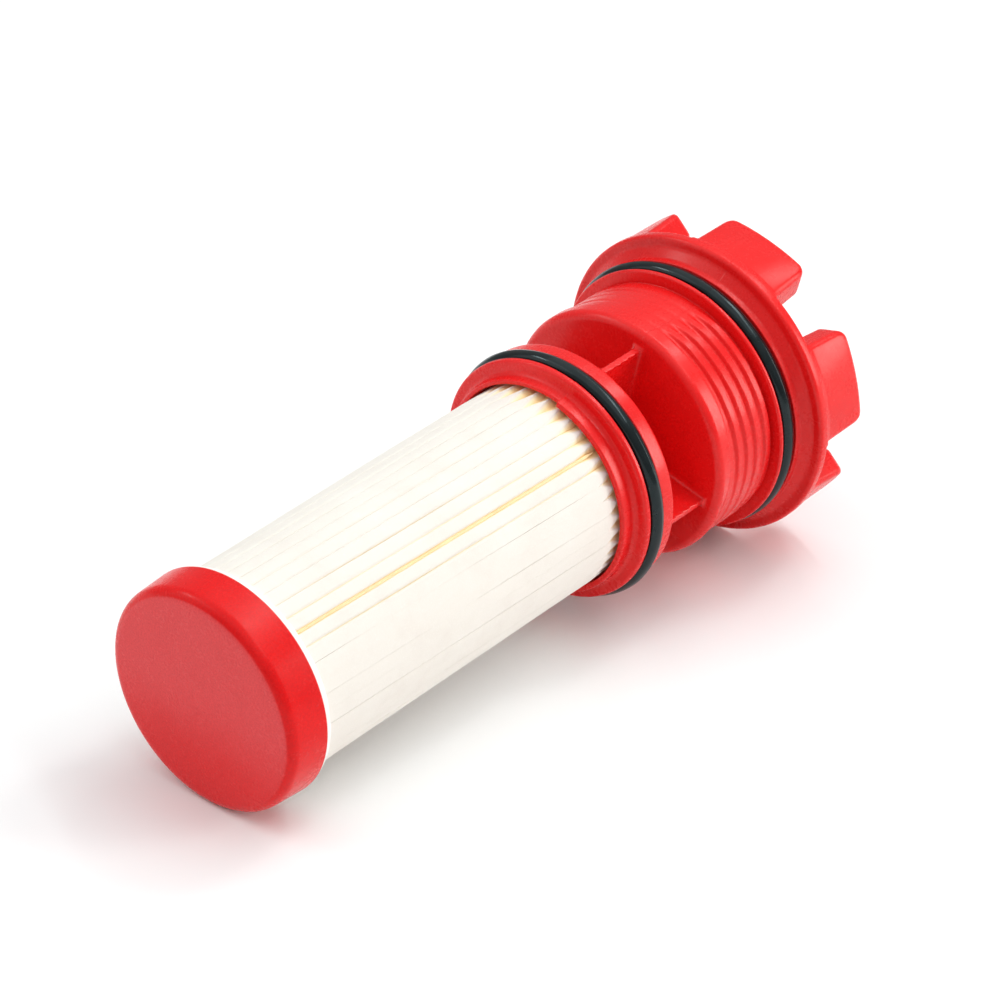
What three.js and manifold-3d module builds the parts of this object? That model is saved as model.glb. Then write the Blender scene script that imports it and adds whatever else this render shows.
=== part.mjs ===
// Cartridge fuel filter: a pleated paper element between a closed end cap and a
// one-piece moulded header. The header carries the outlet collar, four flow webs,
// the threaded plug and the hand-grip crown, with one O-ring on the collar and a
// larger one under the flange.
//
// Millimetres, +Z up. The filter lies along +X: x = 0 is the outer face of the end
// cap, the grip crown ends at x = OVERALL_LENGTH, and the axis is y = z = 0.

import * as THREE from 'three';
import { mergeVertices } from 'three/addons/utils/BufferGeometryUtils.js';
import Module from 'manifold-3d';

const wasm = await Module();
wasm.setup();

// ---------------------------------------------------------------- dimensions
const OVERALL_LENGTH = 134.8;

// end cap
const CAP_DEPTH = 7.8;
const CAP_FLOOR = 2.2;
const CAP_R_FRONT = 19.7;
const CAP_R_REAR = 20.05;
const CAP_R_INNER = 18.95;
const CAP_EDGE_R = 1.8;

// adhesive beds
const BED_R = 18.65;
const BEAD_R = 19.6;
const BEAD_END = 9.3;

// pleated element
const MEDIA_START = 4.1;
const MEDIA_END = 86.1;
const PLEATS = 42;
const PLEAT_TIP_R = 18.19;
const PLEAT_ROOT_R = 10.2;
const PLEAT_HALF_WIDTH = 1.0;
const MEDIA_THICKNESS = 0.45;
const PLEAT_CLOCK = 135.3; // degrees from +Y towards +Z to one valley

// core tube
const CORE_R_OUT = 9.3;
const CORE_R_IN = 7.9;
const CORE_END = 87.5;
const CORE_SLOT_LENGTH = 4.6;
const CORE_SLOT_WIDTH = 3.4;
const CORE_SLOT_ROWS = 9;

// header: stations along the axis
const LIP_X = 80.1;
const CUP_FLOOR_X = 87.8;
const CUP_R_IN = 18.55;
const CUP_R_OUT = 19.6;
const COLLAR_R = 22.0;
const GLAND_1 = [84.2, 87.3];
const GLAND_1_FLOOR_R = 19.8;
const COLLAR_REAR_X = 90.3;
const OUTLET_R = 8.0;

const WEB_THICKNESS = 1.3;
const WEB_R = 20.2;

const PLUG_FACE_X = 101.4;
const PLUG_EDGE_R = 2.85;
const PLUG_R = 22.85;
const PLUG_BORE_R = 19.4;
const PLUG_END_WALL = 2.6;
const THREAD_ROOT_R = 22.15;
const THREAD_CREST_R = 22.85;
const THREAD_PITCH = 2.5;
const THREAD_START_X = 106.3;
const THREAD_TURNS = 3.6;
const RELIEF_X = 115.7;
const GLAND_2 = [117.4, 120.3];
const GLAND_2_FLOOR_R = 22.0;
const GLAND_2_LIP_R = 24.0;
const SEAT_X = 122.6;
const SEAT_R = [26.0, 27.3];
const FLANGE_R = 28.0;
const FLANGE_REAR_X = 124.9;

const LOBES = 6;
const LOBE_R_OUT = 27.6;
const LOBE_R_IN = 22.7;
const LOBE_HALF_BASE = 9.1;
const LOBE_HALF_TIP = 8.4;
const LOBE_CORNER = 2.0;

const HEADER_CLOCK = 14.26; // degrees from +Y towards +Z to the first web

// O-rings
const RING_1 = { x: 85.75, r: 21.4, section: 1.35 };
const RING_2 = { x: 118.85, r: 23.4, section: 1.3 };

// ------------------------------------------------------------------ materials
const material = (name, color, roughness, metalness = 0) =>
  new THREE.MeshStandardMaterial({ name, color, roughness, metalness });

const redPlastic = () => material('red_nylon', 0xd81e24, 0.38);
const adhesive = () => material('white_adhesive', 0xf4f2ec, 0.45);
const paper = () => material('cream_paper', 0xf0ebe2, 0.92);
const seamGlue = () => material('amber_hot_melt', 0xe8c660, 0.4);
const coreNylon = () => material('natural_nylon', 0xe6e0d2, 0.55);
const rubber = () => material('black_rubber', 0x10181a, 0.35);

// -------------------------------------------------------------------- helpers
// One watertight indexed geometry: shared vertices merged, collapsed faces
// dropped and faces turned outwards.
function weld(geometry) {
  const source = geometry.clone();
  source.deleteAttribute('normal');
  source.deleteAttribute('uv');
  const merged = mergeVertices(source, 1e-4);
  const p = merged.attributes.position;
  const index = merged.index.array;
  const faces = [];
  let volume = 0;
  const a = new THREE.Vector3();
  const b = new THREE.Vector3();
  const c = new THREE.Vector3();
  for (let i = 0; i < index.length; i += 3) {
    const [i0, i1, i2] = [index[i], index[i + 1], index[i + 2]];
    if (i0 === i1 || i1 === i2 || i2 === i0) continue;
    faces.push(i0, i1, i2);
    a.fromBufferAttribute(p, i0);
    b.fromBufferAttribute(p, i1);
    c.fromBufferAttribute(p, i2);
    volume += a.dot(b.cross(c));
  }
  if (volume < 0) {
    for (let i = 0; i < faces.length; i += 3) {
      [faces[i + 1], faces[i + 2]] = [faces[i + 2], faces[i + 1]];
    }
  }
  merged.setIndex(faces);
  merged.computeVertexNormals();
  return merged;
}

// Turns a list of [x, r] stations into a solid of revolution about +X.
function turned(profile, segments) {
  const points = profile.map(([x, r]) => new THREE.Vector2(r, x));
  if (profile[0][1] > 0) points.push(points[0].clone());
  const geometry = new THREE.LatheGeometry(points, segments);
  geometry.rotateZ(-Math.PI / 2);
  return weld(geometry);
}

function solid(geometry) {
  const welded = weld(geometry);
  return new wasm.Manifold(
    new wasm.Mesh({
      numProp: 3,
      vertProperties: Float32Array.from(welded.attributes.position.array),
      triVerts: Uint32Array.from(welded.index.array),
    })
  );
}

function surface(manifold) {
  const mesh = manifold.getMesh();
  const positions = new Float32Array(mesh.numVert * 3);
  for (let i = 0; i < mesh.numVert; i++) {
    for (let k = 0; k < 3; k++) {
      positions[3 * i + k] = mesh.vertProperties[mesh.numProp * i + k];
    }
  }
  const geometry = new THREE.BufferGeometry();
  geometry.setAttribute('position', new THREE.BufferAttribute(positions, 3));
  geometry.setIndex(Array.from(mesh.triVerts));
  return weld(geometry);
}

function arc(cx, cr, radius, from, to, steps) {
  const out = [];
  for (let i = 0; i <= steps; i++) {
    const a = THREE.MathUtils.degToRad(from + ((to - from) * i) / steps);
    out.push([cx + radius * Math.cos(a), cr + radius * Math.sin(a)]);
  }
  return out;
}

function box(x0, x1, y0, y1, z0, z1) {
  const geometry = new THREE.BoxGeometry(x1 - x0, y1 - y0, z1 - z0);
  geometry.translate((x0 + x1) / 2, (y0 + y1) / 2, (z0 + z1) / 2);
  return geometry;
}

const filter = new THREE.Group();
filter.name = 'fuel_filter';

function place(parent, name, geometry, mat, x = 0, clock = 0) {
  const mesh = new THREE.Mesh(geometry, mat);
  mesh.name = name;
  mesh.position.x = x;
  mesh.rotation.x = THREE.MathUtils.degToRad(clock);
  parent.add(mesh);
  return mesh;
}

// -------------------------------------------------------------------- end cap
// A shallow moulded cup with a rounded outer edge and a slightly tapered wall.
place(
  filter,
  'end_cap',
  turned(
    [
      [0, 0],
      ...arc(CAP_EDGE_R, CAP_R_FRONT - CAP_EDGE_R, CAP_EDGE_R, 180, 90, 5),
      [CAP_DEPTH - 0.35, CAP_R_REAR],
      [CAP_DEPTH, CAP_R_REAR - 0.3],
      [CAP_DEPTH, CAP_R_INNER + 0.05],
      [CAP_FLOOR, CAP_R_INNER - 0.05],
      [CAP_FLOOR, 0],
    ],
    48
  ),
  redPlastic()
);

// The adhesive that the element stands in: a bed on the cap's floor, a thin sleeve
// up the wall, and the bead that squeezes out over the rim.
place(
  filter,
  'end_cap_adhesive',
  turned(
    [
      [0, 0],
      [0, BED_R],
      [5.62, BED_R],
      [5.64, BEAD_R - 0.4],
      [5.85, BEAD_R - 0.08],
      [6.15, BEAD_R],
      [6.5, BEAD_R - 0.15],
      [BEAD_END - 2.58, BEAD_R - 0.45],
      [BEAD_END - 2.5, BEAD_R - 0.75],
      [BEAD_END - 2.5, PLEAT_TIP_R + 0.2],
      [1.3, PLEAT_TIP_R + 0.2],
      [1.3, 0],
    ],
    48
  ),
  adhesive(),
  2.5
);

// -------------------------------------------------------------- pleated media
// One folded sheet closed into a ring of pleats. Each pleat is a loop with nearly
// parallel legs, a rounded outer fold and a tight inner fold.
{
  const pitch = (2 * Math.PI) / PLEATS;
  const at = (pleat, u, v) => {
    const a = pleat * pitch;
    return new THREE.Vector2(v * Math.cos(a) - u * Math.sin(a), v * Math.sin(a) + u * Math.cos(a));
  };
  const polar = (angle, r) => new THREE.Vector2(r * Math.cos(angle), r * Math.sin(angle));
  const outer = [];
  const inner = [];
  const w = PLEAT_HALF_WIDTH;
  const t = MEDIA_THICKNESS;
  for (let i = 0; i < PLEATS; i++) {
    outer.push(
      polar((i - 0.5) * pitch, PLEAT_ROOT_R),
      at(i, -0.62, PLEAT_ROOT_R + 0.3),
      at(i, -w, PLEAT_TIP_R - 0.85),
      at(i, -0.55, PLEAT_TIP_R - 0.01),
      at(i, 0.55, PLEAT_TIP_R - 0.01),
      at(i, w, PLEAT_TIP_R - 0.85),
      at(i, 0.62, PLEAT_ROOT_R + 0.3)
    );
    inner.push(
      polar((i - 0.5) * pitch, PLEAT_ROOT_R - t),
      at(i, -0.17, PLEAT_ROOT_R - t + 0.15),
      at(i, -(w - t), PLEAT_TIP_R - 1.05),
      at(i, w - t, PLEAT_TIP_R - 1.05),
      at(i, 0.17, PLEAT_ROOT_R - t + 0.15)
    );
  }
  const section = new THREE.Shape(outer);
  section.holes.push(new THREE.Path(inner.reverse()));
  const geometry = new THREE.ExtrudeGeometry(section, {
    depth: MEDIA_END - MEDIA_START,
    bevelEnabled: false,
    steps: 1,
  });
  // the section's (x, y) become (y, z) and the extrusion runs along +X
  geometry.applyMatrix4(
    new THREE.Matrix4().set(0, 0, 1, 0, 1, 0, 0, 0, 0, 1, 0, 0, 0, 0, 0, 1)
  );
  place(filter, 'pleated_media', weld(geometry), paper(), MEDIA_START, PLEAT_CLOCK + 180 / PLEATS);
}

// The hot-melt line that closes the sheet's side seam, in one valley.
place(
  filter,
  'media_side_seam',
  weld(box(0, 70, 16.2, 17.5, -0.14, 0.14)),
  seamGlue(),
  10,
  PLEAT_CLOCK
);

// ------------------------------------------------------------------ core tube
// The perforated tube that keeps the pleats from collapsing inwards.
{
  const length = CORE_END - MEDIA_START;
  let tube = solid(
    turned(
      [
        [0, CORE_R_IN],
        [0, CORE_R_OUT],
        [length, CORE_R_OUT],
        [length, CORE_R_IN],
      ],
      24
    )
  );
  for (let i = 0; i < CORE_SLOT_ROWS; i++) {
    const x = 5 + (i * (length - 14)) / (CORE_SLOT_ROWS - 1);
    const h = CORE_SLOT_WIDTH / 2;
    const reach = CORE_R_OUT + 2;
    const slot =
      i % 2 === 0
        ? box(x, x + CORE_SLOT_LENGTH, -reach, reach, -h, h)
        : box(x, x + CORE_SLOT_LENGTH, -h, h, -reach, reach);
    tube = tube.subtract(solid(slot));
  }
  place(filter, 'core_tube', surface(tube), coreNylon(), MEDIA_START, 22.5);
}

// The adhesive ring that bonds the element's other end into the header's cup.
place(
  filter,
  'header_adhesive',
  turned(
    [
      [0, CORE_R_OUT + 0.3],
      [0, CUP_R_IN - 0.3],
      [1.1, CUP_R_IN - 0.3],
      [1.1, CORE_R_OUT + 0.3],
    ],
    40
  ),
  adhesive(),
  MEDIA_END + 0.3
);

// --------------------------------------------------------------------- header
// Collar with the element's cup in front, the first O-ring gland and the outlet.
const collar = solid(
  turned(
    [
      [LIP_X + 0.25, CUP_R_IN],
      [LIP_X, CUP_R_IN + 0.25],
      [LIP_X, CUP_R_OUT - 0.25],
      [LIP_X + 0.25, CUP_R_OUT],
      [82.2, CUP_R_OUT],
      [82.75, CUP_R_OUT + 0.2],
      [83.05, CUP_R_OUT + 0.75],
      [83.15, COLLAR_R - 0.65],
      [83.35, COLLAR_R - 0.2],
      [83.8, COLLAR_R],
      [GLAND_1[0], COLLAR_R],
      [GLAND_1[0], GLAND_1_FLOOR_R],
      [GLAND_1[1], GLAND_1_FLOOR_R],
      [GLAND_1[1], COLLAR_R + 0.05],
      [COLLAR_REAR_X - 0.7, COLLAR_R + 0.05],
      [COLLAR_REAR_X - 0.2, COLLAR_R - 0.15],
      [COLLAR_REAR_X, COLLAR_R - 0.65],
      [COLLAR_REAR_X, OUTLET_R],
      [CUP_FLOOR_X, OUTLET_R],
      [CUP_FLOOR_X, CUP_R_IN],
    ],
    48
  )
);

// Threaded plug, second O-ring gland, seat and flange, cored out from the rear.
const plug = solid(
  turned(
    [
      [PLUG_FACE_X, 0],
      ...arc(PLUG_FACE_X + PLUG_EDGE_R, PLUG_R - PLUG_EDGE_R, PLUG_EDGE_R, 180, 90, 5),
      [104.8, PLUG_R],
      [105.2, THREAD_ROOT_R],
      [RELIEF_X, THREAD_ROOT_R],
      [RELIEF_X + 0.1, GLAND_2_FLOOR_R],
      [116.55, GLAND_2_FLOOR_R],
      [116.6, GLAND_2_LIP_R - 0.4],
      [116.9, GLAND_2_LIP_R],
      [GLAND_2[0], GLAND_2_LIP_R],
      [GLAND_2[0], GLAND_2_FLOOR_R - 0.25],
      [GLAND_2[1], GLAND_2_FLOOR_R - 0.25],
      [GLAND_2[1], 24.45],
      [121.3, 24.7],
      [SEAT_X, SEAT_R[0]],
      [SEAT_X, SEAT_R[1]],
      [SEAT_X + 0.15, 27.65],
      [SEAT_X + 0.6, 27.85],
      [FLANGE_REAR_X - 0.6, FLANGE_R],
      [FLANGE_REAR_X - 0.15, FLANGE_R - 0.15],
      [FLANGE_REAR_X, FLANGE_R - 0.45],
      [FLANGE_REAR_X, LOBE_R_IN - 0.2],
      [122.2, 20.9],
      [119.4, PLUG_BORE_R],
      [105.4, PLUG_BORE_R],
      [104.3, PLUG_BORE_R - 0.5],
      [PLUG_FACE_X + PLUG_END_WALL, PLUG_BORE_R - 2],
      [PLUG_FACE_X + PLUG_END_WALL, 0],
    ],
    48
  )
);

// The external thread: a ridge of trapezoidal section on a helix, with its ends
// sunk below the root so that it starts and runs out smoothly.
function threadRidge() {
  const perTurn = 24;
  const steps = Math.round(THREAD_TURNS * perTurn);
  const positions = [];
  const index = [];
  for (let i = 0; i <= steps; i++) {
    const a = (2 * Math.PI * i) / perTurn;
    const x = THREAD_START_X + (THREAD_PITCH * i) / perTurn;
    const fade = Math.min(1, Math.min(i, steps - i) / 5);
    const crest = THREAD_ROOT_R - 0.35 + (THREAD_CREST_R - THREAD_ROOT_R + 0.35) * fade;
    const base = THREAD_ROOT_R - 0.6;
    for (const [dx, r] of [
      [-0.85, base],
      [-0.3, crest],
      [0.3, crest],
      [0.85, base],
    ]) {
      positions.push(x + dx, r * Math.cos(a), r * Math.sin(a));
    }
  }
  for (let i = 0; i < steps; i++) {
    for (let k = 0; k < 4; k++) {
      const a = 4 * i + k;
      const b = 4 * i + ((k + 1) % 4);
      index.push(a, b, b + 4, a, b + 4, a + 4);
    }
  }
  const last = 4 * steps;
  index.push(0, 2, 1, 0, 3, 2, last, last + 1, last + 2, last, last + 2, last + 3);
  const geometry = new THREE.BufferGeometry();
  geometry.setAttribute('position', new THREE.Float32BufferAttribute(positions, 3));
  geometry.setIndex(index);
  return geometry;
}

// Grip crown: six curved tabs with drafted sides and rounded tip corners.
function lobe(angle) {
  const x0 = FLANGE_REAR_X - 0.8;
  const x1 = OVERALL_LENGTH;
  const tab = new THREE.Shape();
  tab.moveTo(-LOBE_HALF_BASE, x0);
  tab.lineTo(LOBE_HALF_BASE, x0);
  tab.lineTo(LOBE_HALF_TIP + 0.1, x1 - LOBE_CORNER);
  for (let i = 1; i <= 4; i++) {
    const a = (Math.PI / 2) * (i / 4);
    tab.lineTo(
      LOBE_HALF_TIP + 0.1 - LOBE_CORNER + LOBE_CORNER * Math.cos(a),
      x1 - LOBE_CORNER + LOBE_CORNER * Math.sin(a)
    );
  }
  for (let i = 0; i <= 4; i++) {
    const a = Math.PI / 2 + (Math.PI / 2) * (i / 4);
    tab.lineTo(
      -(LOBE_HALF_TIP + 0.1 - LOBE_CORNER) + LOBE_CORNER * Math.cos(a),
      x1 - LOBE_CORNER + LOBE_CORNER * Math.sin(a)
    );
  }
  const geometry = new THREE.ExtrudeGeometry(tab, { depth: 12, bevelEnabled: false, steps: 1 });
  geometry.translate(0, 0, 19);
  // the shape's x is tangential, its y runs along the axis, its depth is radial
  geometry.applyMatrix4(
    new THREE.Matrix4().set(0, 1, 0, 0, 0, 0, 1, 0, 1, 0, 0, 0, 0, 0, 0, 1)
  );
  geometry.rotateX(THREE.MathUtils.degToRad(angle));
  return solid(geometry);
}

const crownRing = solid(
  turned(
    [
      [FLANGE_REAR_X - 0.5, LOBE_R_OUT],
      [OVERALL_LENGTH - 0.8, LOBE_R_OUT - 0.35],
      [OVERALL_LENGTH - 0.25, LOBE_R_OUT - 0.55],
      [OVERALL_LENGTH, LOBE_R_OUT - 1.0],
      [OVERALL_LENGTH, LOBE_R_IN + 0.7],
      [OVERALL_LENGTH - 0.6, LOBE_R_IN + 0.3],
      [FLANGE_REAR_X - 0.5, LOBE_R_IN],
    ],
    60
  )
);

let header = collar.add(plug);
for (let k = 0; k < 2; k++) {
  const web = box(
    COLLAR_REAR_X - 0.3,
    PLUG_FACE_X + 0.3,
    -WEB_R,
    WEB_R,
    -WEB_THICKNESS / 2,
    WEB_THICKNESS / 2
  );
  web.rotateX((Math.PI / 2) * k);
  header = header.add(solid(web));
}
header = header.add(solid(threadRidge()));
for (let k = 0; k < LOBES; k++) {
  header = header.add(crownRing.intersect(lobe(30 + 60 * k)));
}
place(filter, 'header', surface(header), redPlastic(), 0, HEADER_CLOCK);

// -------------------------------------------------------------------- O-rings
function ring({ r, section }, around, across) {
  const geometry = new THREE.TorusGeometry(r, section, across, around);
  geometry.rotateY(Math.PI / 2);
  return weld(geometry);
}
place(filter, 'collar_o_ring', ring(RING_1, 40, 8), rubber(), RING_1.x);
place(filter, 'flange_o_ring', ring(RING_2, 40, 8), rubber(), RING_2.x);

export default filter;
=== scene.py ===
import math

import bpy
import numpy as np
from mathutils import Matrix, Vector


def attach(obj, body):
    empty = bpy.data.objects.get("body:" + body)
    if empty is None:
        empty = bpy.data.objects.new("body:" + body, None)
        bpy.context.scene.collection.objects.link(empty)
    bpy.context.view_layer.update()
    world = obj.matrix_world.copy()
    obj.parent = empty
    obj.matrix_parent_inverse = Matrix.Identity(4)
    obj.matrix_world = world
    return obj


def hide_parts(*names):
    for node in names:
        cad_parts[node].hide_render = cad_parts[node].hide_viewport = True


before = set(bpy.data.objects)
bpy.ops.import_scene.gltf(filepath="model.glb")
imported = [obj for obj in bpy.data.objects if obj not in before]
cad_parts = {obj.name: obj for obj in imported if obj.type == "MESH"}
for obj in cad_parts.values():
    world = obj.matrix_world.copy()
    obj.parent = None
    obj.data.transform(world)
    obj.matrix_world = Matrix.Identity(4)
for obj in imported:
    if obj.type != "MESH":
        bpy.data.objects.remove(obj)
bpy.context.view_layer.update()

# Cartridge fuel filter: the visual model. The axis is the row frame's X axis. Lengths
# below are millimetres and become metres when a mesh is made. The angle b around the
# axis runs from +Y towards +Z.

MM = 0.001
PARTING = (104.26, 284.26)  # the header mould's two parting lines
CLOCK = 14.26  # the first web
PITCH_DEG = 360.0 / 42
rng = np.random.default_rng(11)


# ------------------------------------------------------------------ mesh helpers
def smoothstep(x, a, b):
    t = np.clip((np.asarray(x, float) - a) / (b - a), 0.0, 1.0)
    return t * t * (3 - 2 * t)


def angle_from(b, b0):
    """Signed difference of two angles in degrees, from -180 to 180."""
    return (np.asarray(b, float) - b0 + 180.0) % 360.0 - 180.0


def periodic_noise(seed, terms, angle_deg, along=0.0):
    """A smooth random wave round the axis that closes on itself, about -1 to 1."""
    r = np.random.default_rng(seed)
    a = np.radians(angle_deg)
    out = 0.0
    total = 0.0
    for k in range(1, terms + 1):
        w = 1.0 / math.sqrt(k)
        out = out + w * np.sin(k * a + r.uniform(0, 6.283) + along * r.uniform(-0.12, 0.12))
        total += w
    return out / total * 1.6


def rounded(corners, closed=False, step=11.0):
    """A polyline of (x, r, fillet) corners with each corner turned into an arc."""
    n = len(corners)
    out = []
    for i, (x, r, f) in enumerate(corners):
        p = np.array([x, r], float)
        if f <= 0 or (not closed and i in (0, n - 1)):
            out.append(p)
            continue
        a = np.array(corners[(i - 1) % n][:2], float)
        b = np.array(corners[(i + 1) % n][:2], float)
        u = (a - p) / np.linalg.norm(a - p)
        v = (b - p) / np.linalg.norm(b - p)
        half = math.acos(max(-1.0, min(1.0, float(u @ v)))) / 2
        if half > math.pi / 2 - 0.01:
            out.append(p)
            continue
        back = f / math.tan(half)
        back = min(back, 0.495 * np.linalg.norm(a - p), 0.495 * np.linalg.norm(b - p))
        f = back * math.tan(half)
        mid = (u + v) / np.linalg.norm(u + v)
        centre = p + mid * (f / math.sin(half))
        start = p + u * back - centre
        end = p + v * back - centre
        a0 = math.atan2(start[1], start[0])
        turn = (math.atan2(end[1], end[0]) - a0 + math.pi) % (2 * math.pi) - math.pi
        steps = max(2, int(math.ceil(abs(math.degrees(turn)) / step)))
        for k in range(steps + 1):
            q = a0 + turn * k / steps
            out.append(centre + f * np.array([math.cos(q), math.sin(q)]))
    return np.array(out)


def refine(profile, longest):
    """Splits the long straight runs of a profile."""
    out = [profile[0]]
    for p, q in zip(profile[:-1], profile[1:]):
        k = max(1, int(math.ceil(np.linalg.norm(q - p) / longest)))
        for i in range(1, k + 1):
            out.append(p + (q - p) * i / k)
    return np.array(out)


def round_angles(count, fine=()):
    """Angles round the axis, with extra ones close to each angle in fine."""
    a = list(np.arange(count) * 360.0 / count)
    for f in fine:
        a += [(f + d) % 360.0 for d in (-1.2, -0.8, -0.5, -0.3, -0.16, -0.06, 0.06, 0.16, 0.3, 0.5, 0.8, 1.2)]
    a = np.array(sorted(a))
    keep = np.concatenate([[True], np.diff(a) > 0.03])
    return a[keep]


def to_object(name, verts, faces, sharp=38.0):
    """A mesh object from millimetre vertices, shaded smooth up to the sharp angle."""
    mesh = bpy.data.meshes.new(name)
    mesh.from_pydata((np.asarray(verts, float) * MM).tolist(), [], faces)
    mesh.validate()
    mesh.update()
    finish_shading(mesh, sharp)
    obj = bpy.data.objects.new(name, mesh)
    bpy.context.scene.collection.objects.link(obj)
    return obj


def finish_shading(mesh, sharp):
    mesh.polygons.foreach_set("use_smooth", np.ones(len(mesh.polygons), bool))
    mesh.set_sharp_from_angle(angle=math.radians(sharp))
    mesh.update()


def lathe(profile, angles, warp=None):
    """Vertices and faces of a closed solid of revolution. A profile whose two ends lie
    on the axis gets a pole at each, and any other profile closes on itself."""
    poles = profile[0][1] < 1e-9 and profile[-1][1] < 1e-9
    ring = profile[1:-1] if poles else profile
    m, n = len(ring), len(angles)
    x = np.repeat(ring[:, 0][None, :], n, 0)
    r = np.repeat(ring[:, 1][None, :], n, 0)
    b = np.repeat(angles[:, None], m, 1)
    if warp is not None:
        x, r = warp(x, r, b)
    c, s = np.cos(np.radians(b)), np.sin(np.radians(b))
    verts = np.stack([x, r * c, r * s], -1).reshape(-1, 3)
    faces = []
    for i in range(n):
        j = (i + 1) % n
        for k in range(m - 1 if poles else m):
            k2 = (k + 1) % m
            faces.append((i * m + k, j * m + k, j * m + k2, i * m + k2))
    if poles:
        first, last = len(verts), len(verts) + 1
        verts = np.vstack([verts, [[profile[0][0], 0, 0], [profile[-1][0], 0, 0]]])
        for i in range(n):
            j = (i + 1) % n
            faces.append((first, j * m, i * m))
            faces.append((last, i * m + m - 1, j * m + m - 1))
    return verts, oriented(verts, faces)


def oriented(verts, faces):
    """Turns all faces round if the closed mesh's volume comes out negative."""
    v = np.asarray(verts)
    vol = 0.0
    tri = np.array([(f[0], f[i], f[i + 1]) for f in faces for i in range(1, len(f) - 1)])
    a, b, c = v[tri[:, 0]], v[tri[:, 1]], v[tri[:, 2]]
    vol = np.einsum("ij,ij->i", a, np.cross(b, c)).sum()
    if vol < 0:
        return [tuple(reversed(f)) for f in faces]
    return faces


def loft(sections, mirror_caps=True):
    """Skins a list of equal-length closed loops. Each end cap is a strip of quads that
    joins the loop's first half to its second half."""
    m = len(sections[0])
    verts = np.concatenate(sections)
    faces = []
    for i in range(len(sections) - 1):
        for k in range(m):
            k2 = (k + 1) % m
            faces.append((i * m + k, i * m + k2, (i + 1) * m + k2, (i + 1) * m + k))
    for base, flip in ((0, True), ((len(sections) - 1) * m, False)):
        h = m // 2
        for k in range(h - 1):
            q = [base + k, base + k + 1, base + m - 2 - k, base + m - 1 - k]
            faces.append(tuple(reversed(q)) if flip else tuple(q))
    return verts, oriented(verts, faces)


def combine(base, others, operation="UNION"):
    """Boolean of closed meshes, applied, with the helper objects removed."""
    for o in others:
        m = base.modifiers.new("join", "BOOLEAN")
        m.operation = operation
        m.object = o
        m.solver = "MANIFOLD"
    dg = bpy.context.evaluated_depsgraph_get()
    mesh = bpy.data.meshes.new_from_object(base.evaluated_get(dg))
    base.modifiers.clear()
    old = base.data
    base.data = mesh
    mesh.name = old.name + "_solid"
    bpy.data.meshes.remove(old)
    for o in others:
        d = o.data
        bpy.data.objects.remove(o)
        bpy.data.meshes.remove(d)
    return base


def weighted(obj):
    m = obj.modifiers.new("weighted_normals", "WEIGHTED_NORMAL")
    m.keep_sharp = True
    m.weight = 60
    return obj


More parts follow.
